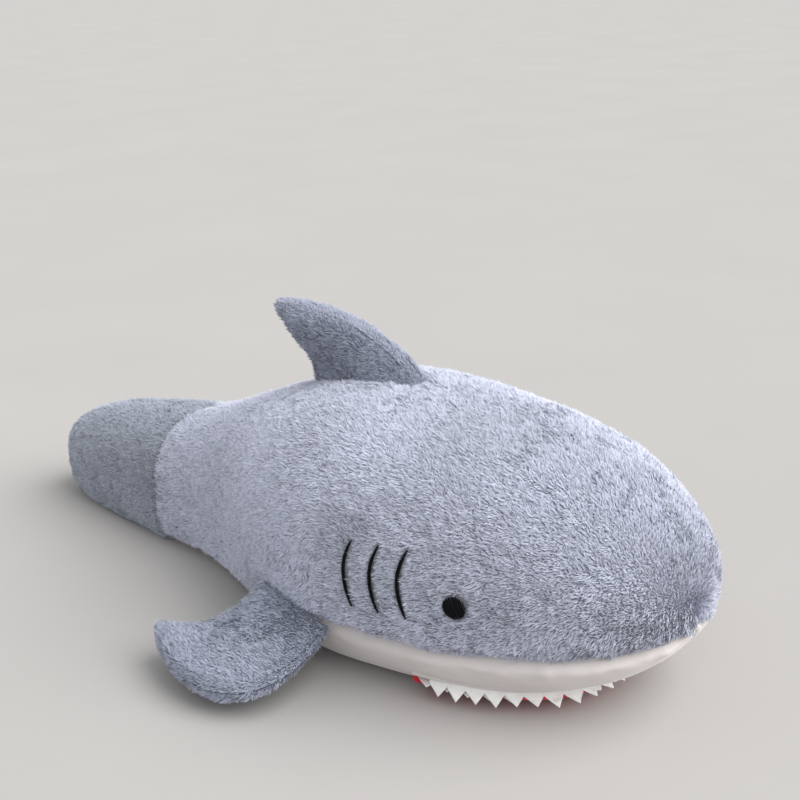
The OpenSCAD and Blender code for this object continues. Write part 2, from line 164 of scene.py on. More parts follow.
def body_point(u, a, side, inset=0.0, floor=0.0):
    """Points of the surface at stations u and angles a in degrees, as an array of xyz."""
    u, a = np.broadcast_arrays(np.asarray(u, float), np.asarray(a, float))
    inset = np.broadcast_to(np.asarray(inset, float), u.shape)
    turn = np.radians(a)
    low = a < 0
    exponent = np.where(low, 2 / under_round(u), 2 / UPPER_ROUND)
    half = np.maximum(half_width(u) - inset, 0) * power(np.cos(turn), exponent)
    down = np.maximum(middle_level(u) - low_level(u) - inset, 0)
    up = np.maximum(top_level(u) - middle_level(u) - inset, 0)
    reach = power(np.abs(np.sin(turn)), exponent)
    level = middle_level(u) + np.where(low, -down, up) * reach
    level = np.maximum(level, floor + inset)
    return np.stack([station_x(u, inset), side * half, level], -1)


def seam_level(u):
    behind = mix(SEAM_REAR, SEAM_CHEST, power(u, SEAM_LAG))
    ahead = mix(SEAM_CHEST, SEAM_NOSE, power(np.sin(nose_angle(u)), 1.6))
    return np.where(u <= 1, behind, ahead)


def angle_at(u, level):
    """The angle in degrees at which the surface reaches a height."""
    u, level = np.broadcast_arrays(np.asarray(u, float), np.asarray(level, float))
    middle, top, low = middle_level(u), top_level(u), low_level(u)
    below = np.clip((middle - level) / np.maximum(middle - low, 1e-6), 0, 1)
    above = np.clip((level - middle) / np.maximum(top - middle, 1e-6), 0, 1)
    down = -np.degrees(np.arcsin(below ** (under_round(u) / 2)))
    up = np.degrees(np.arcsin(above ** (UPPER_ROUND / 2)))
    return np.where(level < middle, down, up)


def seam_angle(u):
    return angle_at(u, seam_level(u))


def station_at(x):
    part = np.clip((x - WIDE_X) / (NOSE_X - WIDE_X), 0, 1)
    ahead = 1 + np.arcsin(part ** (NOSE_BLUNT / 2)) * 2 / np.pi
    return np.where(x <= WIDE_X, (x - BEND_X) / (WIDE_X - BEND_X), ahead)


def rising_station(level_of):
    """The station at which the underside of the nose rises to a height that may vary."""
    stations = np.linspace(1, 1.9999, 4000)
    return float(stations[np.argmax(low_level(stations) >= level_of(stations))])


MOUTH_U = float(station_at(np.array(MOUTH_X)))
LIP_END_U = rising_station(lambda u: LIP + 0 * u)
SEAM_END_U = rising_station(seam_level)


# ---------------------------------------------------------------- seeded noise on arrays
def lattice(cell, seed):
    """A repeatable random number from 0 to 1 for each whole-numbered cell."""
    mixed = (cell[..., 0] * 73856093) ^ (cell[..., 1] * 19349663) ^ (cell[..., 2] * 83492791)
    mixed = (mixed ^ (seed * 2654435761)) & 0xFFFFFFFF
    mixed = ((mixed ^ (mixed >> 15)) * 2246822519) & 0xFFFFFFFF
    mixed = ((mixed ^ (mixed >> 13)) * 3266489917) & 0xFFFFFFFF
    return ((mixed ^ (mixed >> 16)) & 0xFFFFFF) / float(0x1000000)


def rough(points, size, seed):
    """Smooth noise from -1 to 1 whose bumps are about size across."""
    place = points / size + 1000.0
    cell = np.floor(place).astype(np.int64)
    part = place - cell
    part = part * part * (3 - 2 * part)
    total = np.zeros(points.shape[:-1])
    for corner in np.ndindex(2, 2, 2):
        step = np.array(corner)
        weight = np.prod(np.where(step == 1, part, 1 - part), axis=-1)
        total += weight * lattice(cell + step, seed)
    return 2 * total - 1


# ---------------------------------------------------------------- meshes
def new_object(name, mesh, materials, body):
    obj = bpy.data.objects.new(name, mesh)
    bpy.context.scene.collection.objects.link(obj)
    for material in materials:
        mesh.materials.append(material)
    if body:
        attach(obj, body)
    return obj


def mesh_of(name, points, faces, shades=None):
    """A smooth-shaded mesh; each array of faces holds faces with one number of corners."""
    mesh = bpy.data.meshes.new(name)
    points = np.asarray(points, np.float32).reshape(-1, 3)
    sizes = np.concatenate([np.full(len(f), f.shape[1], np.int32) for f in faces])
    corners = np.concatenate([f.ravel() for f in faces]).astype(np.int32)
    starts = np.concatenate([[0], np.cumsum(sizes)[:-1]]).astype(np.int32)
    mesh.vertices.add(len(points))
    mesh.vertices.foreach_set("co", points.ravel())
    mesh.loops.add(len(corners))
    mesh.loops.foreach_set("vertex_index", corners)
    mesh.polygons.add(len(sizes))
    mesh.polygons.foreach_set("loop_start", starts)
    if shades is not None:
        mesh.polygons.foreach_set("material_index", shades.astype(np.int32))
    mesh.update(calc_edges=True)
    mesh.validate()
    mesh.polygons.foreach_set("use_smooth", np.ones(len(mesh.polygons), bool))
    return mesh


def grid_faces(rows, columns, start=0, flip=False):
    i, j = np.meshgrid(np.arange(rows - 1), np.arange(columns - 1), indexing="ij")
    at = start + i * columns + j
    quads = np.stack([at, at + columns, at + columns + 1, at + 1], -1).reshape(-1, 4)
    return quads[:, ::-1] if flip else quads


def sheet_object(name, grid, materials, body, flip=False):
    """One surface from a grid of points; points that coincide are joined."""
    rows, columns = grid.shape[:2]
    mesh = mesh_of(name, grid, [grid_faces(rows, columns, flip=flip)])
    obj = new_object(name, mesh, materials, None)
    weld(obj, WELD)
    if body:
        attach(obj, body)
    return obj


def weld(obj, distance):
    import bmesh
    work = bmesh.new()
    work.from_mesh(obj.data)
    bmesh.ops.remove_doubles(work, verts=work.verts, dist=distance)
    work.to_mesh(obj.data)
    work.free()


def slab_object(name, outer, inner, materials, body, flip=False):
    """A closed solid between two grids of the same size."""
    rows, columns = outer.shape[:2]
    count = rows * columns
    index = np.arange(count).reshape(rows, columns)
    ring = np.concatenate([index[0], index[1:, -1], index[-1, -2::-1], index[-2:0:-1, 0]])
    after = np.roll(ring, -1)
    wall = np.stack([ring, after, after + count, ring + count], -1)
    faces = [grid_faces(rows, columns, flip=flip),
             grid_faces(rows, columns, start=count, flip=not flip),
             wall if not flip else wall[:, ::-1]]
    points = np.concatenate([outer.reshape(-1, 3), inner.reshape(-1, 3)])
    obj = new_object(name, mesh_of(name, points, faces), materials, None)
    weld(obj, WELD)
    if body:
        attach(obj, body)
    return obj


def unit(vectors):
    return vectors / np.maximum(np.linalg.norm(vectors, axis=-1, keepdims=True), 1e-9)


def grid_normals(grid, away):
    """Unit normals of a grid that point away from a point, or from points, within."""
    normal = unit(np.cross(np.gradient(grid, axis=0), np.gradient(grid, axis=1)))
    facing = np.sum(normal * (grid - away), axis=-1)
    return normal * np.sign(np.sum(facing))


# ---------------------------------------------------------------- fur
STRANDS_PER_M2 = 1_200_000
STRAND_WIDTH = 0.68 * MM
STRAND_LENGTH = 4.3 * MM
CLUMP = 2.7 * MM            # how far apart the tufts stand
ROOT_SINK = 0.8 * MM
CLUMP_OFFSET = 4096         # keeps the tuft cells' numbers above zero
SHADES = 6


def cell_areas(grid):
    across = np.diff(grid, axis=0)[:, :-1]
    along = np.diff(grid, axis=1)[:-1]
    return np.linalg.norm(np.cross(across, along), axis=-1)


def pick_roots(grid, rng):
    """Evenly spread places on a grid: row and column with their fractions."""
    area = cell_areas(grid)
    total = np.cumsum(area.ravel())
    count = int(total[-1] * STRANDS_PER_M2)
    order = (np.arange(count) + rng.random(count)) / count * total[-1]
    cell = np.minimum(np.searchsorted(total, order), area.size - 1)
    row, column = np.unravel_index(cell, area.shape)
    return row, column, rng.random(count), rng.random(count)


def sample(grid, row, column, down, over):
    down, over = down[:, None], over[:, None]
    near = grid[row, column] * (1 - over) + grid[row, column + 1] * over
    far = grid[row + 1, column] * (1 - over) + grid[row + 1, column + 1] * over
    return near * (1 - down) + far * down


def clump_pull(root, normal):
    """From each root towards the middle of its tuft along the skin, and the tuft's shade."""
    cell = np.floor(root / CLUMP).astype(np.int64) + CLUMP_OFFSET
    jitter = np.stack([lattice(cell, seed) for seed in (31, 32, 33)], -1)
    pull = (cell - CLUMP_OFFSET + jitter) * CLUMP - root
    return pull - normal * np.sum(pull * normal, -1, keepdims=True), jitter[:, 0]


def fur_object(name, grid, away, nap, materials, body, seed, keep=None, long=1.0, lift=1.0):
    """Tapered strands that lie along nap, a unit vector at each point of the grid."""
    rng = np.random.default_rng(seed)
    row, column, down, over = pick_roots(grid, rng)
    root = sample(grid, row, column, down, over)
    normal = unit(sample(grid_normals(grid, away), row, column, down, over))
    lay = sample(np.broadcast_to(nap, grid.shape), row, column, down, over)
    if keep is not None:
        kept = keep(root)
        root, normal, lay = root[kept], normal[kept], lay[kept]
    count = len(root)
    side = np.cross(normal, lay)
    swirl = 0.55 * rough(root, 26 * MM, 11) + 0.75 * rough(root, 6 * MM, 12)
    swirl = swirl + 0.35 * rng.normal(size=count)
    lay = lay * np.cos(swirl)[:, None] + side * np.sin(swirl)[:, None]
    lay = unit(lay - normal * np.sum(lay * normal, -1, keepdims=True))
    tuft = rough(root, 4.5 * MM, 13)
    length = STRAND_LENGTH * long * (1 + 0.16 * tuft + 0.14 * rng.normal(size=count))
    length = np.clip(length, 0.5 * STRAND_LENGTH, 1.5 * STRAND_LENGTH)[:, None]
    rise = lift * (1 + 0.2 * tuft + 0.15 * rng.normal(size=count))[:, None]
    roll = rng.uniform(-1.0, 1.0, count)[:, None]
    width = np.cross(normal, lay) * np.cos(roll) + normal * np.sin(roll) * 0.8
    width = width * STRAND_WIDTH / 2 * rng.uniform(0.7, 1.3, count)[:, None]
    pull, shade = clump_pull(root, normal)
    first = root + length * (0.36 * rise * normal + 0.16 * lay)
    second = root + length * (0.62 * rise * normal + 0.46 * lay) + 0.30 * pull
    tip = root + length * (0.78 * rise * normal + 0.78 * lay) + 0.55 * pull
    base = root - ROOT_SINK * normal
    points = np.stack([base - 0.6 * width, base + 0.6 * width, first - width, first + width,
                       second - 0.7 * width, second + 0.7 * width, tip], 1)
    points[..., 2] = np.maximum(points[..., 2], FLOOR_CLEAR)
    start = np.arange(count)[:, None] * 7
    low = start + np.array([0, 1, 3, 2])
    high = start + np.array([2, 3, 5, 4])
    end = start + np.array([4, 5, 6])
    # The slow swing of tone over about 70 mm is painted sheen: the patchy sheen of the nap. The
    # other terms vary the tone from tuft to tuft and from strand to strand.
    tone = 1.4 + 0.6 * rough(root, 70 * MM, 14) + 0.4 * tuft + 0.7 * (shade - 0.5)
    tone = tone + 0.3 * rng.normal(size=count)
    tone = np.clip(np.round(tone), 0, SHADES - 3)
    # Each strand's root faces take its darkest shade and its tip the lightest: painted shade among
    # the roots and painted light at the tips.
    shades = np.concatenate([tone, tone + 1, tone + 2])
    mesh = mesh_of(name, points, [low, high, end], shades)
    return new_object(name, mesh, materials, body)


# ---------------------------------------------------------------- materials
def shader(name, color, roughness, sheen=0.0, sheen_rough=0.4):
    material = bpy.data.materials.new(name)
    material.use_nodes = True
    node = material.node_tree.nodes["Principled BSDF"]
    node.inputs["Base Color"].default_value = (*color, 1)
    node.inputs["Roughness"].default_value = roughness
    node.inputs["Specular IOR Level"].default_value = 0.25
    node.inputs["Sheen Weight"].default_value = sheen
    node.inputs["Sheen Roughness"].default_value = sheen_rough
    return material


def patterned(name, dark, light, size, roughness, bumps, sheen=0.3, gloss=0.25):
    """Cloth whose colour wanders between two tones, with layers of (size, strength) bump."""
    material = shader(name, light, roughness, sheen)
    tree = material.node_tree
    principled = tree.nodes["Principled BSDF"]
    principled.inputs["Specular IOR Level"].default_value = gloss
    place = tree.nodes.new("ShaderNodeTexCoord")
    cloud = tree.nodes.new("ShaderNodeTexNoise")
    cloud.inputs["Scale"].default_value = 1 / size
    cloud.inputs["Detail"].default_value = 6
    ramp = tree.nodes.new("ShaderNodeValToRGB")
    ramp.color_ramp.elements[0].position = 0.3
    ramp.color_ramp.elements[0].color = (*dark, 1)
    ramp.color_ramp.elements[1].position = 0.7
    ramp.color_ramp.elements[1].color = (*light, 1)
    tree.links.new(place.outputs["Object"], cloud.inputs["Vector"])
    tree.links.new(cloud.outputs["Fac"], ramp.inputs["Fac"])
    tree.links.new(ramp.outputs["Color"], principled.inputs["Base Color"])
    above = None
    for bump_size, strength in bumps:
        grain = tree.nodes.new("ShaderNodeTexNoise")
        grain.inputs["Scale"].default_value = 1 / bump_size
        grain.inputs["Detail"].default_value = 4
        bump = tree.nodes.new("ShaderNodeBump")
        bump.inputs["Strength"].default_value = strength
        bump.inputs["Distance"].default_value = bump_size * 0.4
        tree.links.new(place.outputs["Object"], grain.inputs["Vector"])
        tree.links.new(grain.outputs["Fac"], bump.inputs["Height"])
        if above:
            tree.links.new(above.outputs["Normal"], bump.inputs["Normal"])
        above = bump
    tree.links.new(above.outputs["Normal"], principled.inputs["Normal"])
    return material


def fur_shades(name, color):
    """Shades of one fur, from the shadowed roots to the light tips."""
    levels = np.linspace(0.62, 1.42, SHADES)
    return [shader(f"{name}_{i}", tuple(min(1, c * level) for c in color), 0.75, 0.25)
            for i, level in enumerate(levels)]


BACK_COLOR = (0.535, 0.555, 0.655)
FIN_COLOR = (0.36, 0.385, 0.475)
TAIL_COLOR = (0.36, 0.385, 0.45)
back_shades = fur_shades("back_fur", BACK_COLOR)
fin_shades = fur_shades("fin_fur", FIN_COLOR)
tail_shades = fur_shades("tail_fur", TAIL_COLOR)
# The backing cloths are darker than the fur that grows from them: painted shade, so that the gaps
# between the strands read as shadow. Their tone also wanders on its own, as the cloth's own colour.
back_cloth = patterned("back_cloth", (0.26, 0.27, 0.31), (0.34, 0.355, 0.41), 60 * MM, 0.9,
                       [(2 * MM, 0.6)])
fin_cloth = patterned("fin_cloth", (0.17, 0.19, 0.24), (0.23, 0.26, 0.32), 60 * MM, 0.9,
                      [(2 * MM, 0.6)])
white_plush = patterned("white_plush", (0.62, 0.575, 0.56), (0.69, 0.645, 0.625), 50 * MM, 0.85,
                        [(9 * MM, 0.10), (1.1 * MM, 0.35)], 0.5)
red_plush = patterned("red_plush", (0.70, 0.02, 0.03), (0.86, 0.05, 0.06), 12 * MM, 0.8,
                      [(1.5 * MM, 0.5)], 0.4)
white_felt = patterned("white_felt", (0.78, 0.76, 0.74), (0.88, 0.87, 0.85), 6 * MM, 0.9,
                       [(0.8 * MM, 0.5)], 0.3)
black_thread = patterned("black_thread", (0.002, 0.002, 0.003), (0.007, 0.007, 0.009),
                         3 * MM, 0.6, [(0.5 * MM, 0.3)], 0.0, 0.08)


# ---------------------------------------------------------------- body skins
def dip(distance, reach=SEAM_REACH, depth=SEAM_DIP):
    """How far a skin sinks at a distance from the seam line where it is sewn."""
    return depth * np.exp(-(distance / reach) ** 2)


def puckers(points, distance, reach, size=11 * MM, depth=1.4 * MM):
    """Small gathers in the cloth, strongest at a seam and gone at reach from it."""
    return depth * rough(points, size, 21) * np.exp(-(distance / reach) ** 2)


def dents(points):
    """The uneven swell of hand-stuffed cloth."""
    return 2.0 * MM * rough(points, 95 * MM, 22) + 0.8 * MM * rough(points, 38 * MM, 23)


def body_skin(stations, low_angle, high_angle, columns, side, depth):
    """Stations, angles, and distances along the skin from its low edge and its high edge."""
    u = stations[:, None]
    part = np.linspace(0, 1, columns)[None, :]
    low, high = low_angle(u), high_angle(u)
    a = low + (high - low) * part
    first = body_point(u, a, side, depth)
    along = np.linalg.norm(np.gradient(first, axis=1), axis=-1)
    walked = np.cumsum(along, axis=1) - along[:, :1]
    return u, a, walked, walked[:, -1:] - walked


BODY_AXIS, TAIL_AXIS = 100 * MM, 60 * MM


def middle_line(grid, level):
    """Points in the middle at a height above the floor, from which the skins face away."""
    away = grid.copy()
    away[..., 1] = 0
    away[..., 2] = level
    return away


REAR_STATIONS = np.linspace(0.0, 1.0, 130)
NOSE_STATIONS = 1 + np.linspace(0, 1, 170)[1:] ** 0.9 * 0.9985
BACK_STATIONS = np.concatenate([REAR_STATIONS, NOSE_STATIONS])
BELLY_STATIONS = np.linspace(0.0, MOUTH_U, 130)
MOUTH_EASE = 0.05


def unevenness(u, a, side, from_seam):
    """Gathers along the seam and dents, the same on the skins that meet there."""
    surface = body_point(u, a, side)
    return puckers(surface, from_seam, 15 * MM) + 0.8 * dents(surface)


def back_grid(side):
    """The furry back from its seam with the white plush up to the middle line."""
    ends = (seam_angle, lambda u: 90 + 0 * u)
    u, a, from_seam, from_ridge = body_skin(BACK_STATIONS, *ends, 150, side, FUR_DEPTH)
    sink = dip(from_seam) + dip(from_ridge, 4 * MM, 1.2 * MM)
    sink = sink - unevenness(u, a, side, from_seam)
    grid = body_point(u, a, side, FUR_DEPTH + np.clip(sink, -2 * MM, 8 * MM))
    grid[:, -1, 1] = 0
    return grid


def plush_sink(u, a, side, from_seam):
    """At the seam the white plush tucks in just behind the fur's backing."""
    tuck = dip(from_seam, 5 * MM, 6.5 * MM) + dip(from_seam, 1.6 * MM, 2.5 * MM)
    return tuck - unevenness(u, a, side, from_seam)


def belly_grid():
    """The white underside from seam to seam, behind the mouth."""
    halves = []
    for side in (RIGHT, LEFT):
        ends = (lambda u: -90 + 0 * u, seam_angle)
        u, a, _, from_seam = body_skin(BELLY_STATIONS, *ends, 60, side, PLUSH_DEPTH)
        sink = plush_sink(u, a, side, from_seam)
        half = body_point(u, a, side, PLUSH_DEPTH + np.maximum(sink, -1.2 * MM))
        near_floor = np.clip((LIP - half[..., 2]) / (LIP - 5 * MM), 0, 1)
        half[..., 2] = np.maximum(half[..., 2] - PLUSH_DEPTH * near_floor, FLOOR_CLEAR)
        halves.append(half)
    return np.concatenate([halves[0][:, :0:-1], halves[1]], 1)


def lip_angle(u):
    return np.where(u >= LIP_END_U, -90.0, angle_at(u, LIP + 0 * u))


def snout_grid(side):
    """The white snout above the mouth, from the lip or the middle line to the fur."""
    stations = MOUTH_U + (SEAM_END_U - MOUTH_U) * np.linspace(0, 1, 170)
    u, a, from_lip, from_seam = body_skin(stations, lip_angle, seam_angle, 64, side,
                                          PLUSH_DEPTH)
    surface = body_point(u, a, side)
    groove = np.exp(-(surface[..., 1] / (3.5 * MM)) ** 2) * 1.8 * MM
    in_mouth = np.clip((u - MOUTH_U) / MOUTH_EASE, 0, 1)
    near_chin = np.clip((LIP_END_U + 0.03 - u) / 0.06, 0, 1)
    rolled = dip(from_lip, 5 * MM, 4.5 * MM) * in_mouth * near_chin
    sink = plush_sink(u, a, side, from_seam) + groove + rolled
    grid = body_point(u, a, side, PLUSH_DEPTH + np.clip(sink, -1.2 * MM, 10 * MM))
    grid[..., 2] = np.maximum(grid[..., 2], LIP)
    return grid


# ---------------------------------------------------------------- tail
TAIL_LEAN = math.sin(math.radians(20))
TAIL_NARROW = math.cos(math.radians(20))
TAIL_END_LEVEL = 40 * MM
TAIL_ROUND = 2.25
JOIN_STATIONS = 0.16


def lean_back(grid, u):
    """The rear edge of the body reaches further back at its sides, as the tail's seam does."""
    share = np.clip(1 - u / JOIN_STATIONS, 0, 1) ** 2
    grid[..., 0] -= np.abs(grid[..., 1]) * TAIL_LEAN * share
    return grid


def tail_skin(side, depth, stations=120, columns=130):
    part = np.linspace(0, 1, stations)[:, None] ** 1.15
    a = np.linspace(-90, 90, columns)[None, :]
    part, a = np.broadcast_arrays(part, a)
    rim = body_point(0 * part, a, side, depth)
    shrink = power(1 - part ** TAIL_ROUND, 1 / TAIL_ROUND)
    taper = mix(1, 0.72, part) * shrink
    start = BEND_X - np.abs(rim[..., 1]) * TAIL_LEAN
    turn = np.sin(np.pi / 2 * part)
    middle = float(middle_level(0))
    level = mix(middle, TAIL_END_LEVEL, part) + (rim[..., 2] - middle) * taper
    narrow = mix(1, TAIL_NARROW, np.clip(part / 0.25, 0, 1))
    x = mix(start, TAIL_X + depth, turn)
    return part, np.stack([x, rim[..., 1] * taper * narrow, np.maximum(level, depth)], -1)


def tail_grid(side):
    part, base = tail_skin(side, FUR_DEPTH)
    walked = np.cumsum(np.linalg.norm(np.gradient(base, axis=0), axis=-1), axis=0)
    around = np.linalg.norm(np.gradient(base, axis=1), axis=-1)
    from_top = np.cumsum(around[:, ::-1], axis=1)[:, ::-1] - around[:, -1:]
    sink = dip(walked, 7 * MM, 5 * MM) + dip(from_top, 4 * MM, 1.5 * MM) - dents(base)
    sink = sink - puckers(base, walked, 20 * MM, depth=2 * MM)
    normal = grid_normals(base, middle_line(base, TAIL_AXIS))
    grid = base - normal * np.clip(sink, -2 * MM, 8 * MM)[..., None]
    grid[..., 2] = np.maximum(grid[..., 2], 2 * MM)
    grid[:, [0, -1], 1] = 0
    grid[-1] = grid[-1].mean(axis=0)
    return grid


# ---------------------------------------------------------------- fins
def bezier(points, t):
    t = t[..., None]
    a, b, c, d = (np.array(p) for p in points)
    return (a * (1 - t) ** 3 + 3 * b * t * (1 - t) ** 2 + 3 * c * t * t * (1 - t) + d * t ** 3)


def lens(span, chord, root_share):
    across = np.sqrt(np.maximum(0, 1 - (2 * chord - 1) ** 2))
    early = mix(root_share, 1, np.sin(np.pi * span))
    late = power(np.cos(np.pi * (span - 0.5)), 0.5)
    return across * np.where(span < 0.5, early, late)


def fin_places(rows, columns):
    """Spans from root to tip and chords from the trailing to the leading edge."""
    span = np.linspace(0, 1, rows)[:, None]
    chord = (1 - np.cos(np.linspace(0, np.pi, columns)))[None, :] / 2
    return np.broadcast_arrays(span, chord)


SIDE_PLUMP = 34 * MM
SIDE_LEVEL = 52 * MM
SIDE_REACH = 122 * MM
SIDE_SWEEP = 98 * MM
SIDE_ENDS = (40 * MM, 128 * MM)
SIDE_GAP = 2.5 * MM
SIDE_LIFT = 12 * MM
SIDE_TILT = 12 * MM
DORSAL_PLUMP = 33 * MM
DORSAL_HEIGHT = 68 * MM
DORSAL_SWEEP = 46 * MM
DORSAL_ENDS = (-6 * MM, 122 * MM)
DORSAL_FLARE, FLARE_SPAN = 0.85, 0.4
FUR_CLOTH = 3 * MM           # the cloth and fur on each side of a stuffed fin
FIN_ROWS, FIN_COLUMNS = 90, 90


def side_fin_end(x, side, level):
    u = station_at(np.array(x))
    root = body_point(u, angle_at(u, level), side)
    return np.array([root[0], root[1] + side * SIDE_GAP, level])


def fin_middle(trailing, leading, span, chord):
    """Points across a fin, from the curve of its trailing edge to that of its leading edge."""
    line = bezier(trailing, span) * (1 - chord[..., None])
    return line + bezier(leading, span) * chord[..., None]


def pouch(middle, chord):
    """Distance from the free edge, thickness of cloth, and swell of gathers and dents."""
    width = np.linalg.norm(middle[:, -1] - middle[:, 0], axis=-1)[:, None]
    from_edge = np.minimum(chord, 1 - chord) * width
    cloth = FUR_CLOTH - FUR_DEPTH * np.clip(from_edge / (5 * MM), 0.4, 1)
    swell_out = puckers(middle, from_edge, 14 * MM, depth=1.6 * MM) + dents(middle)
    return from_edge, cloth, swell_out


def side_fin_grid(side, above):
    rear = side_fin_end(SIDE_ENDS[0], side, SIDE_LEVEL + SIDE_TILT)
    front = side_fin_end(SIDE_ENDS[1], side, SIDE_LEVEL)
    tip = (rear + front) / 2 + [-SIDE_SWEEP, side * SIDE_REACH * 0.6, 0]
    leading = [front, front + [42 * MM, side * SIDE_REACH * 0.95, 0],
               tip + [58 * MM, side * SIDE_REACH * 0.42, 0], tip]
    trailing = [rear, rear + [-20 * MM, side * 18 * MM, 0],
                tip + [26 * MM, -side * 12 * MM, 0], tip]
    span, chord = fin_places(FIN_ROWS, FIN_COLUMNS)
    middle = fin_middle(trailing, leading, span, chord)
    root_level = SIDE_LEVEL - FUR_CLOTH + SIDE_TILT * (1 - chord)
    droop = mix(root_level, SIDE_PLUMP / 2 + FUR_CLOTH,
                np.sin(np.pi / 2 * np.minimum(1, 1.6 * span))) + SIDE_LIFT * span ** 2
    from_edge, cloth, swell_out = pouch(middle, chord)
    half = SIDE_PLUMP / 2 * lens(span, chord, 0.12) + cloth + swell_out
    half = half * np.clip(from_edge / (2 * MM), 0, 1)
    grid = middle.copy()
    grid[..., 2] = np.maximum(droop + above * np.maximum(half, 0), 2 * MM)
    grid[-1] = grid[-1].mean(axis=0)
    return grid


def dorsal_grid(side):
    rear, front = (np.array([x, 0, float(top_level(station_at(np.array(x))))])
                   for x in DORSAL_ENDS)
    tip = rear + [-DORSAL_SWEEP, 0, DORSAL_HEIGHT]
    leading = [front, front + [-34 * MM, 0, 40 * MM], tip + [62 * MM, 0, 8 * MM], tip]
    trailing = [rear, rear + [2 * MM, 0, 26 * MM], tip + [14 * MM, 0, -26 * MM], tip]
    span, chord = fin_places(FIN_ROWS, FIN_COLUMNS)
    middle = fin_middle(trailing, leading, span, chord)
    from_edge, cloth, swell_out = pouch(middle, chord)
    flare = DORSAL_FLARE * np.clip(1 - span / FLARE_SPAN, 0, 1) ** 2
    half = DORSAL_PLUMP / 2 * (lens(span, chord, 0.35) + flare * lens(0.5 + 0 * span, chord, 1))
    half = (half + cloth + swell_out) * np.clip(from_edge / (2 * MM), 0, 1)
    grid = middle.copy()
    grid[..., 1] = side * np.maximum(half, 0)
    grid[..., 2] -= 0.25 * half * np.clip(1 - span / FLARE_SPAN, 0, 1)
    grid[-1] = grid[-1].mean(axis=0)
    return grid


def fin_nap(grid, back):
    """Towards the tip, leaning by a share towards the tail."""
    nap = unit(np.gradient(grid, axis=0)) + np.array([-back, 0, 0])
    return unit(nap)


# ---------------------------------------------------------------- mouth
def lip_path(count=241):
    """The outline of the mouth from its left corner round the chin to the right."""
    half = np.linspace(0, 1, count // 2 + 1)
    u = MOUTH_U + (LIP_END_U - MOUTH_U) * half ** 0.8
    left = body_point(u, angle_at(u, LIP), LEFT, 0, LIP)
    left[:, 2] = LIP
    left[-1, 1] = 0
    right = left[-2::-1] * [1, -1, 1]
    return np.concatenate([left, right])


def path_side(path):
    """Unit vectors across a path in the floor plane, pointing out of the mouth."""
    along = np.gradient(path, axis=0)
    side = np.stack([along[:, 1], -along[:, 0], 0 * along[:, 0]], -1)
    centre = path.mean(axis=0)
    side = unit(side)
    return side * np.sign(np.sum(side * (path - centre), -1))[:, None]


def tube_grid(path, across, up, radius, sides):
    """Rings round a path; radius may vary along it."""
    turn = np.linspace(0, 2 * np.pi, sides + 1)[None, :, None]
    radius = np.broadcast_to(radius, len(path))[:, None, None]
    return (path[:, None] + radius * (np.cos(turn) * across[:, None]
                                      + np.sin(turn) * up[:, None]))


def resample(path, count):
    step = np.linalg.norm(np.diff(path, axis=0), axis=-1)
    place = np.concatenate([[0], np.cumsum(step)])
    wanted = np.linspace(0, place[-1], count)
    return np.stack([np.interp(wanted, place, path[:, i]) for i in range(3)], -1)


def teeth_object(name, path, count, root_lift, band, length, lean, curl, body, seed):
    """A strip of felt whose free edge is cut into pointed teeth, each bent a little.
    The tips lean towards the chin."""
    rng = np.random.default_rng(seed)
    per_tooth = 24
    total = count * per_tooth + 1
    path = resample(path, total)
    side = path_side(path)
    place = np.arange(total) / per_tooth
    peak = np.where(place < count / 2, 0.66, 0.34)
    part = place % 1
    wave = np.where(part < peak, part / peak, (1 - part) / (1 - peak))
    tooth = np.minimum(place.astype(int), count - 1)
    reach = band + length * rng.uniform(0.88, 1.05, count)[tooth] * wave ** 0.92
    bend = (lean + rng.uniform(-0.16, 0.16, count)[tooth])[:, None]
    down = np.linspace(0, 1, 11)[None, :]
    drop = down * reach[:, None]
    out = bend * drop + curl * drop ** 2 / length
    grid = path[:, None] + side[:, None] * out[..., None]
    grid[..., 2] += root_lift - drop * np.sqrt(np.maximum(1 - bend ** 2, 0.1))
    thick = side[:, None] * 1.5 * MM
    return slab_object(name, grid + thick, grid, [white_felt], body)


# ---------------------------------------------------------------- embroidery
def on_body(x, level, side, proud):
    """Points of the furry surface at given places along and above the floor."""
    u = station_at(x)
    return body_point(u, angle_at(u, level), side, -proud)


EYE_X = NOSE_X - 148 * MM
EYE_LEVEL = 104 * MM
EYE_HALF = 9.6 * MM
EYE_STITCH = 0.052            # a share of the eye's half width
EYE_SLANT = math.radians(24)
GILL_X = 205 * MM
GILL_PITCH = 27 * MM
GILL_BOW = 7 * MM
GILL_LIFT = 8.5 * MM
GILL_DROP = 2.5 * MM
GILL_LENGTH = 58 * MM
GILL_WIDTH = 3.9 * MM
GILL_STITCH = 0.85 * MM
THREAD = 0.45 * MM


def threads_object(name, runs, body):
    """Many short threads, each a small tube along a row of points."""
    points, faces, count = [], [], 0
    for run in runs:
        normal = np.tile(unit(np.cross(run[-1] - run[0], [0, 0, 1.0])), (len(run), 1))
        along = unit(np.gradient(run, axis=0))
        across = unit(np.cross(along, normal))
        up = np.cross(across, along)
        ease = np.sqrt(np.clip(1 - np.linspace(-1, 1, len(run)) ** 8, 0.15, 1))
        ring = tube_grid(run, across, up, THREAD * ease, 6)
        points.append(ring.reshape(-1, 3))
        faces.append(grid_faces(ring.shape[0], ring.shape[1], start=count))
        count += ring.shape[0] * ring.shape[1]
    mesh = mesh_of(name, np.concatenate(points), [np.concatenate(faces)])
    obj = new_object(name, mesh, [black_thread], None)
    weld(obj, 0.01 * MM)
    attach(obj, body)
    return obj


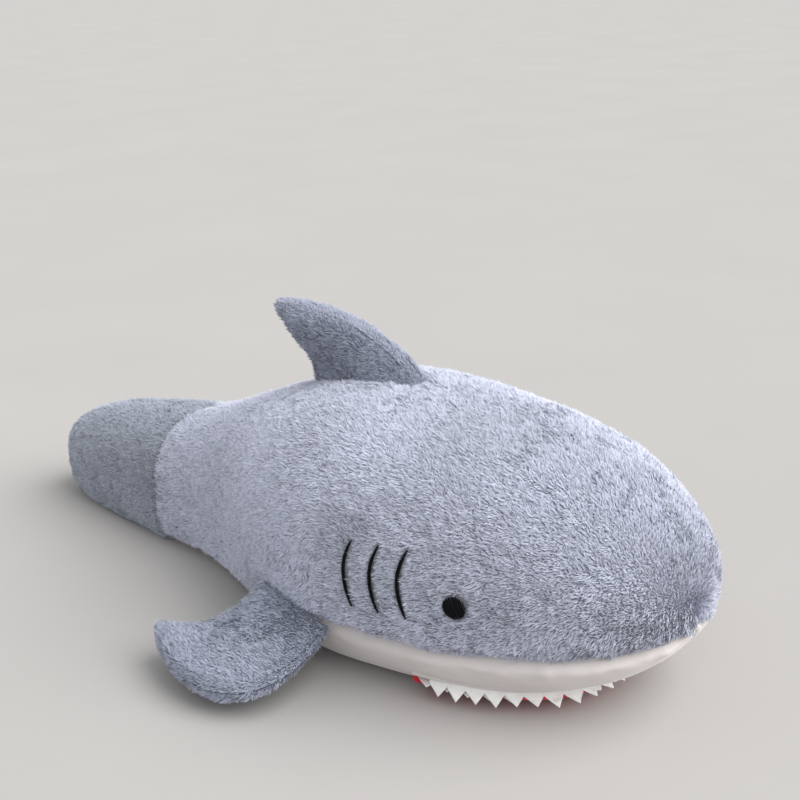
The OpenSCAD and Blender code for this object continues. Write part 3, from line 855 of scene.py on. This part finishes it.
def eye_runs(side, rng):
    """Satin stitches that slant across the eye, crowned in the middle."""
    runs = []
    for across in np.arange(-0.97, 0.975, EYE_STITCH):
        half = math.sqrt(1 - across * across) * (1 + 0.03 * rng.normal())
        part = np.linspace(-1, 1, 15)
        x = across + 0.02 * rng.normal()
        along = part * half
        ahead = x * math.cos(EYE_SLANT) - along * math.sin(EYE_SLANT)
        rise = x * math.sin(EYE_SLANT) + along * math.cos(EYE_SLANT)
        crown = 1.4 * MM * np.sqrt(np.clip(1 - ahead ** 2 - rise ** 2, 0, 1))
        runs.append(on_body(EYE_X + ahead * EYE_HALF, EYE_LEVEL + rise * EYE_HALF,
                            side, crown - 0.6 * MM + 0.12 * MM * rng.normal()))
    return runs


def gill_middle(index, part):
    x = GILL_X - index * GILL_PITCH + GILL_BOW * (part * part - 0.5)
    return x, EYE_LEVEL + GILL_LIFT - index * GILL_DROP + part * GILL_LENGTH / 2


def gill_runs(side, rng):
    runs = []
    for index in range(3):
        for part in np.arange(-1, 1.0001, GILL_STITCH * 2 / GILL_LENGTH):
            x, level = gill_middle(index, part)
            half = GILL_WIDTH / 2 * math.sqrt(max(1.05 - part ** 4, 0.1))
            across = np.linspace(-1, 1, 7)
            wobble = 0.10 * MM * rng.normal()
            runs.append(on_body(x + across * half + wobble, level + across * half * 0.25, side,
                                0.8 * MM * (1 - across ** 2) - 0.6 * MM))
    return runs


def off_embroidery(root):
    """Which fur roots lie clear of the eyes and the gill lines."""
    reach = np.hypot((root[:, 0] - EYE_X - 2 * MM) / EYE_HALF,
                     (root[:, 2] - EYE_LEVEL) / EYE_HALF)
    clear = reach > 1.2
    for index in range(3):
        centre = EYE_LEVEL + GILL_LIFT - index * GILL_DROP
        part = (root[:, 2] - centre) / (GILL_LENGTH / 2)
        x = gill_middle(index, np.clip(part, -1, 1))[0]
        near = np.abs(root[:, 0] - x - 1.8 * MM) < GILL_WIDTH * 0.5 + 2.0 * MM
        clear &= ~(near & (np.abs(part) < 1.02))
    return clear


# ---------------------------------------------------------------- putting it together
BLEND_HALF = 60 * MM
TRIANGLES_PER_STRAND = 5
MOST_TRIANGLES = 190_000


def fur_on(name, grid, away, nap, materials, seed, finish, keep=None, long=1.0, lift=1.0):
    """Fur over a whole grid, cut into bands along its rows that each stay a light mesh."""
    area = cell_areas(grid).sum(axis=1)
    strands = area.sum() * STRANDS_PER_M2
    bands = max(1, math.ceil(strands * TRIANGLES_PER_STRAND / MOST_TRIANGLES))
    total = np.concatenate([[0], np.cumsum(area)])
    cuts = [int(np.searchsorted(total, total[-1] * i / bands)) for i in range(bands + 1)]
    for index in range(bands):
        rows = slice(cuts[index], cuts[index + 1] + 1)
        obj = fur_object(f"{name}_{index + 1}", grid[rows], away[rows], nap[rows], materials,
                         None, seed + index, keep, long, lift)
        finish(obj)


def across_bend(obj):
    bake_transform(obj)


def tail_or_body(obj):
    """Rides on the body where it lies well ahead of the bend, and is left unattached else."""
    least = min(v.co.x for v in obj.data.vertices)
    if least > BEND_X + BLEND_HALF:
        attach(obj, "body")
    else:
        across_bend(obj)


def soft(obj, slot, *nodes):
    if nodes:
        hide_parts(*nodes)


def nap_to_rear(grid):
    """The rows of the grid run from the tail to the nose, and the fur lies the other way."""
    return -unit(np.gradient(grid, axis=0))


for side, word in SIDES:
    grid = lean_back(back_grid(side), BACK_STATIONS[:, None])
    skin = sheet_object(f"back_skin_{word}", grid, [back_cloth], None, flip=side == RIGHT)
    across_bend(skin)
    soft(skin, "grey_fur", f"back_panel_{word}")
    away = middle_line(grid, BODY_AXIS)

    def finish_back(obj):
        tail_or_body(obj)
    fur_on(f"back_fur_{word}", grid, away, nap_to_rear(grid), back_shades, 100 + side,
           finish_back, off_embroidery)

    grid = snout_grid(side)
    snout = sheet_object(f"snout_{word}", grid, [white_plush], "body", flip=side == RIGHT)
    soft(snout, "white_plush", f"snout_panel_{word}")

    grid = tail_grid(side)
    skin = sheet_object(f"tail_skin_{word}", grid, [fin_cloth], None, flip=side == LEFT)
    across_bend(skin)
    soft(skin, "fin_fur", f"tail_panel_{word}")

    def finish_tail(obj):
        across_bend(obj)
    fur_on(f"tail_fur_{word}", grid, middle_line(grid, TAIL_AXIS),
           unit(np.gradient(grid, axis=0)), tail_shades, 200 + side, finish_tail)

grid = lean_back(belly_grid(), BELLY_STATIONS[:, None])
belly = sheet_object("belly_skin", grid, [white_plush], None)
across_bend(belly)
soft(belly, "white_plush", "belly_panel", "body_stuffing")

for side, word in SIDES:
    for above, layer in ((1, "upper"), (-1, "lower")):
        grid = side_fin_grid(side, above)
        skin = sheet_object(f"{word}_fin_{layer}_skin", grid, [fin_cloth], None,
                            flip=(side == RIGHT) == (above == 1))
        name = f"{word}_fin"
        inner = grid[0].mean(axis=0)
        outward = np.array([0, side * 24 * MM, 0])

        def finish_fin(obj, name=name, inner=inner, outward=outward):
            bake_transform(obj)
        finish_fin(skin)
        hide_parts(f"{name}_{layer}_panel")
        if layer == "upper":
            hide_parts(f"{name}_stuffing")
        away = np.broadcast_to(np.array([inner[0], inner[1], 0.0]), grid.shape).copy()
        away[..., :2] = grid[..., :2]
        away[..., 2] = grid[..., 2] - above * 10 * MM
        fur_on(f"{name}_{layer}_fur", grid, away, fin_nap(grid, 0.25), fin_shades,
               300 + side * 10 + above, finish_fin, long=0.9, lift=0.9)

    grid = dorsal_grid(side)
    skin = sheet_object(f"dorsal_fin_{word}_skin", grid, [fin_cloth], None, flip=side == LEFT)
    ridge = grid[0].mean(axis=0)

    def finish_dorsal(obj, ridge=ridge):
        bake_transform(obj)
    finish_dorsal(skin)
    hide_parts(f"dorsal_fin_{word}_panel")
    away = grid - np.array([0, side * 20 * MM, 0])
    fur_on(f"dorsal_fin_{word}_fur", grid, away, fin_nap(grid, 0.5), fin_shades,
           400 + side, finish_dorsal, long=0.9, lift=0.9)

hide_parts("dorsal_fin_stuffing")
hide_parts("tail_stuffing")

# ---------------------------------------------------------------- mouth pieces
lip = lip_path()
lip_out = path_side(lip)
UP = np.array([0, 0, 1.0])
path = lip - lip_out * 3.2 * MM + UP * 2.6 * MM
roll = tube_grid(path, lip_out, np.tile(UP, (len(path), 1)),
                 2.9 * MM + puckers(path, 0 * path[:, 0], 1, depth=0.35 * MM), 18)
roll_piece = sheet_object("lip_roll", roll, [white_plush], "body", flip=True)
soft(roll_piece, "white_plush")


def fan(path, centre, rings):
    """A grid from a centre out to a path."""
    part = np.linspace(0, 1, rings)[None, :, None]
    return centre + (path[:, None] - centre) * part


roof = fan(lip - lip_out * 3 * MM, np.array([MOUTH_X + 0.5 * MM, 0, LIP]), 40)
roof[..., 2] = LIP + 1.2 * MM + puckers(roof, 0 * roof[..., 0], 1, 14 * MM, 0.7 * MM)
lining = sheet_object("upper_lining", roof, [red_plush], "body")
soft(lining, "red_plush", "upper_mouth_lining")

wall_y = np.linspace(-1, 1, 120)[:, None] * (abs(lip[0][1]) - 1.2 * MM)
wall_z = np.linspace(FLOOR_CLEAR, LIP + 1.5 * MM, 16)[None, :]
edge = np.clip((abs(lip[0][1]) - np.abs(wall_y)) / (26 * MM), 0, 1)
wall = np.stack(np.broadcast_arrays(
    MOUTH_X + 0.3 * MM + 0 * wall_y + 0 * wall_z, wall_y + 0 * wall_z,
    mix(wall_z * 0 + LIP + 1.5 * MM, wall_z, np.sqrt(edge))), -1)
back_wall = sheet_object("mouth_wall", wall, [red_plush], "body")
soft(back_wall, "red_plush")

JAW_BACK = joints["jaw_open"]["pos_m"][0]
JAW_LONG, JAW_WIDE, JAW_ROUND = 0.965, 0.935, 3
JAW_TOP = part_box("lower_mouth_lining")[1].z
JAW_RIM = JAW_TOP - 2 * MM


def jaw_profile(path, ring, height):
    """Points of the jaw's rounded underside, from its middle out to its rim."""
    x = JAW_BACK + (path[:, None, 0] - MOUTH_X) * JAW_LONG * ring
    y = path[:, None, 1] * JAW_WIDE * ring
    z = height - height * power(1 - ring ** JAW_ROUND, 1 / JAW_ROUND)
    return np.stack(np.broadcast_arrays(x, y, z), -1)


rings = np.sin(np.linspace(0, np.pi / 2, 60))[None, :]
bowl = jaw_profile(lip, rings, JAW_RIM)
bowl[..., 2] = np.maximum(bowl[..., 2], FLOOR_CLEAR)
cushion = sheet_object("jaw_cushion", bowl[:, :32], [white_plush], "jaw", flip=True)
soft(cushion, "white_plush", "jaw_panel", "jaw_stuffing")
lid = jaw_profile(lip, rings[:, ::-1], JAW_RIM)
crown = np.clip((1 - rings[:, ::-1]) / 0.25, 0, 1)
lid[..., 2] = JAW_RIM + 2 * MM * np.sin(np.pi / 2 * crown)
lid[..., 2] += puckers(lid, 0 * lid[..., 0], 1, 12 * MM, 0.5 * MM) * crown - 0.5 * MM * crown
red_top = np.concatenate([bowl[:, 31:-1], lid], 1)
lower = sheet_object("lower_lining", red_top, [red_plush], "jaw", flip=True)
soft(lower, "red_plush", "lower_mouth_lining")
heel_edge = np.concatenate([bowl[0, ::-1], bowl[-1]])
heel = np.stack([heel_edge, heel_edge], 1)
heel[:, 1, 2] = JAW_TOP - 0.5 * MM
jaw_back = sheet_object("jaw_heel", heel, [white_plush], "jaw")
soft(jaw_back, "white_plush")

TOOTHLESS = 7      # points of the lip's outline left bare at each corner of the mouth
gum = (lip - lip_out * 3.4 * MM)[TOOTHLESS:-TOOTHLESS]
upper = teeth_object("upper_teeth_felt", gum, 22, 1.5 * MM, 4 * MM, 6.8 * MM, 0.05, 0.5,
                     "body", 51)
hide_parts("upper_teeth")
rim = jaw_profile(lip, np.array([[1.0]]), JAW_RIM)[:, 0]
rim[:, 2] = JAW_TOP - 1 * MM
lower_teeth = teeth_object("lower_teeth_felt", rim - path_side(rim) * 2 * MM, 21, 0.5 * MM,
                           2 * MM, 6 * MM, 0.9, 0.2, "jaw", 52)
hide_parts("lower_teeth")

for side, word in SIDES:
    rng = np.random.default_rng(60 + side)
    eye = threads_object(f"{word}_eye_thread", eye_runs(side, rng), "body")
    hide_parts(f"{word}_eye")
    gills = threads_object(f"{word}_gill_thread", gill_runs(side, rng), "body")
    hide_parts(f"{word}_gills")

# ---------------------------------------------------------------- floor, light and camera
floor_cloth = patterned("floor_cloth", (0.42, 0.405, 0.395), (0.435, 0.42, 0.41), 0.30, 1.0,
                        [(4 * MM, 0.05)], 0.0, 0.0)
FLOOR_ENDS = (-40.0, 40.0)
floor_grid = np.array([[[x, y, 0.0] for y in FLOOR_ENDS] for x in FLOOR_ENDS])
floor = sheet_object("floor", floor_grid, [floor_cloth], None)


def sun_light(name, place, spread, strength, color):
    """Even light from the direction of a place, softened over an angle in degrees."""
    data = bpy.data.lights.new(name, "SUN")
    data.angle = math.radians(spread)
    data.energy = strength
    data.color = color
    obj = bpy.data.objects.new(name, data)
    obj.location = place
    obj.rotation_euler = (-Vector(place)).to_track_quat("-Z", "Y").to_euler()
    bpy.context.scene.collection.objects.link(obj)


sun_light("key_light", (3.4, 1.5, 4.0), 60, 3.5, (1.0, 0.99, 0.97))
sun_light("fill_light", (2.1, -2.4, 2.2), 50, 0.5, (0.95, 0.97, 1.0))
world = bpy.data.worlds.new("soft_room")
bpy.context.scene.world = world
world.use_nodes = True
world.node_tree.nodes["Background"].inputs["Color"].default_value = (0.96, 0.98, 1.0, 1)
world.node_tree.nodes["Background"].inputs["Strength"].default_value = 0.68

CAMERA_PLACE = (0.7835, -0.7843, 0.5845)
CAMERA_HEADING = math.radians(41.3)
CAMERA_PITCH = math.radians(20.05)
CAMERA_ROLL = math.radians(2.08)
view = Vector((-math.sin(CAMERA_HEADING) * math.cos(CAMERA_PITCH),
               math.cos(CAMERA_HEADING) * math.cos(CAMERA_PITCH), -math.sin(CAMERA_PITCH)))
level_right = Vector((math.cos(CAMERA_HEADING), math.sin(CAMERA_HEADING), 0))
level_up = level_right.cross(view)
right = level_right * math.cos(CAMERA_ROLL) - level_up * math.sin(CAMERA_ROLL)
up = level_right * math.sin(CAMERA_ROLL) + level_up * math.cos(CAMERA_ROLL)
lens_data = bpy.data.cameras.new("camera")
lens_data.lens = 56.25
lens_data.sensor_width = 36
lens_data.clip_end = 100
camera = bpy.data.objects.new("camera", lens_data)
camera.matrix_world = Matrix((
    (right.x, up.x, -view.x, CAMERA_PLACE[0]),
    (right.y, up.y, -view.y, CAMERA_PLACE[1]),
    (right.z, up.z, -view.z, CAMERA_PLACE[2]),
    (0, 0, 0, 1)))
bpy.context.scene.collection.objects.link(camera)
bpy.context.scene.camera = camera
bpy.context.scene.view_settings.view_transform = "Standard"
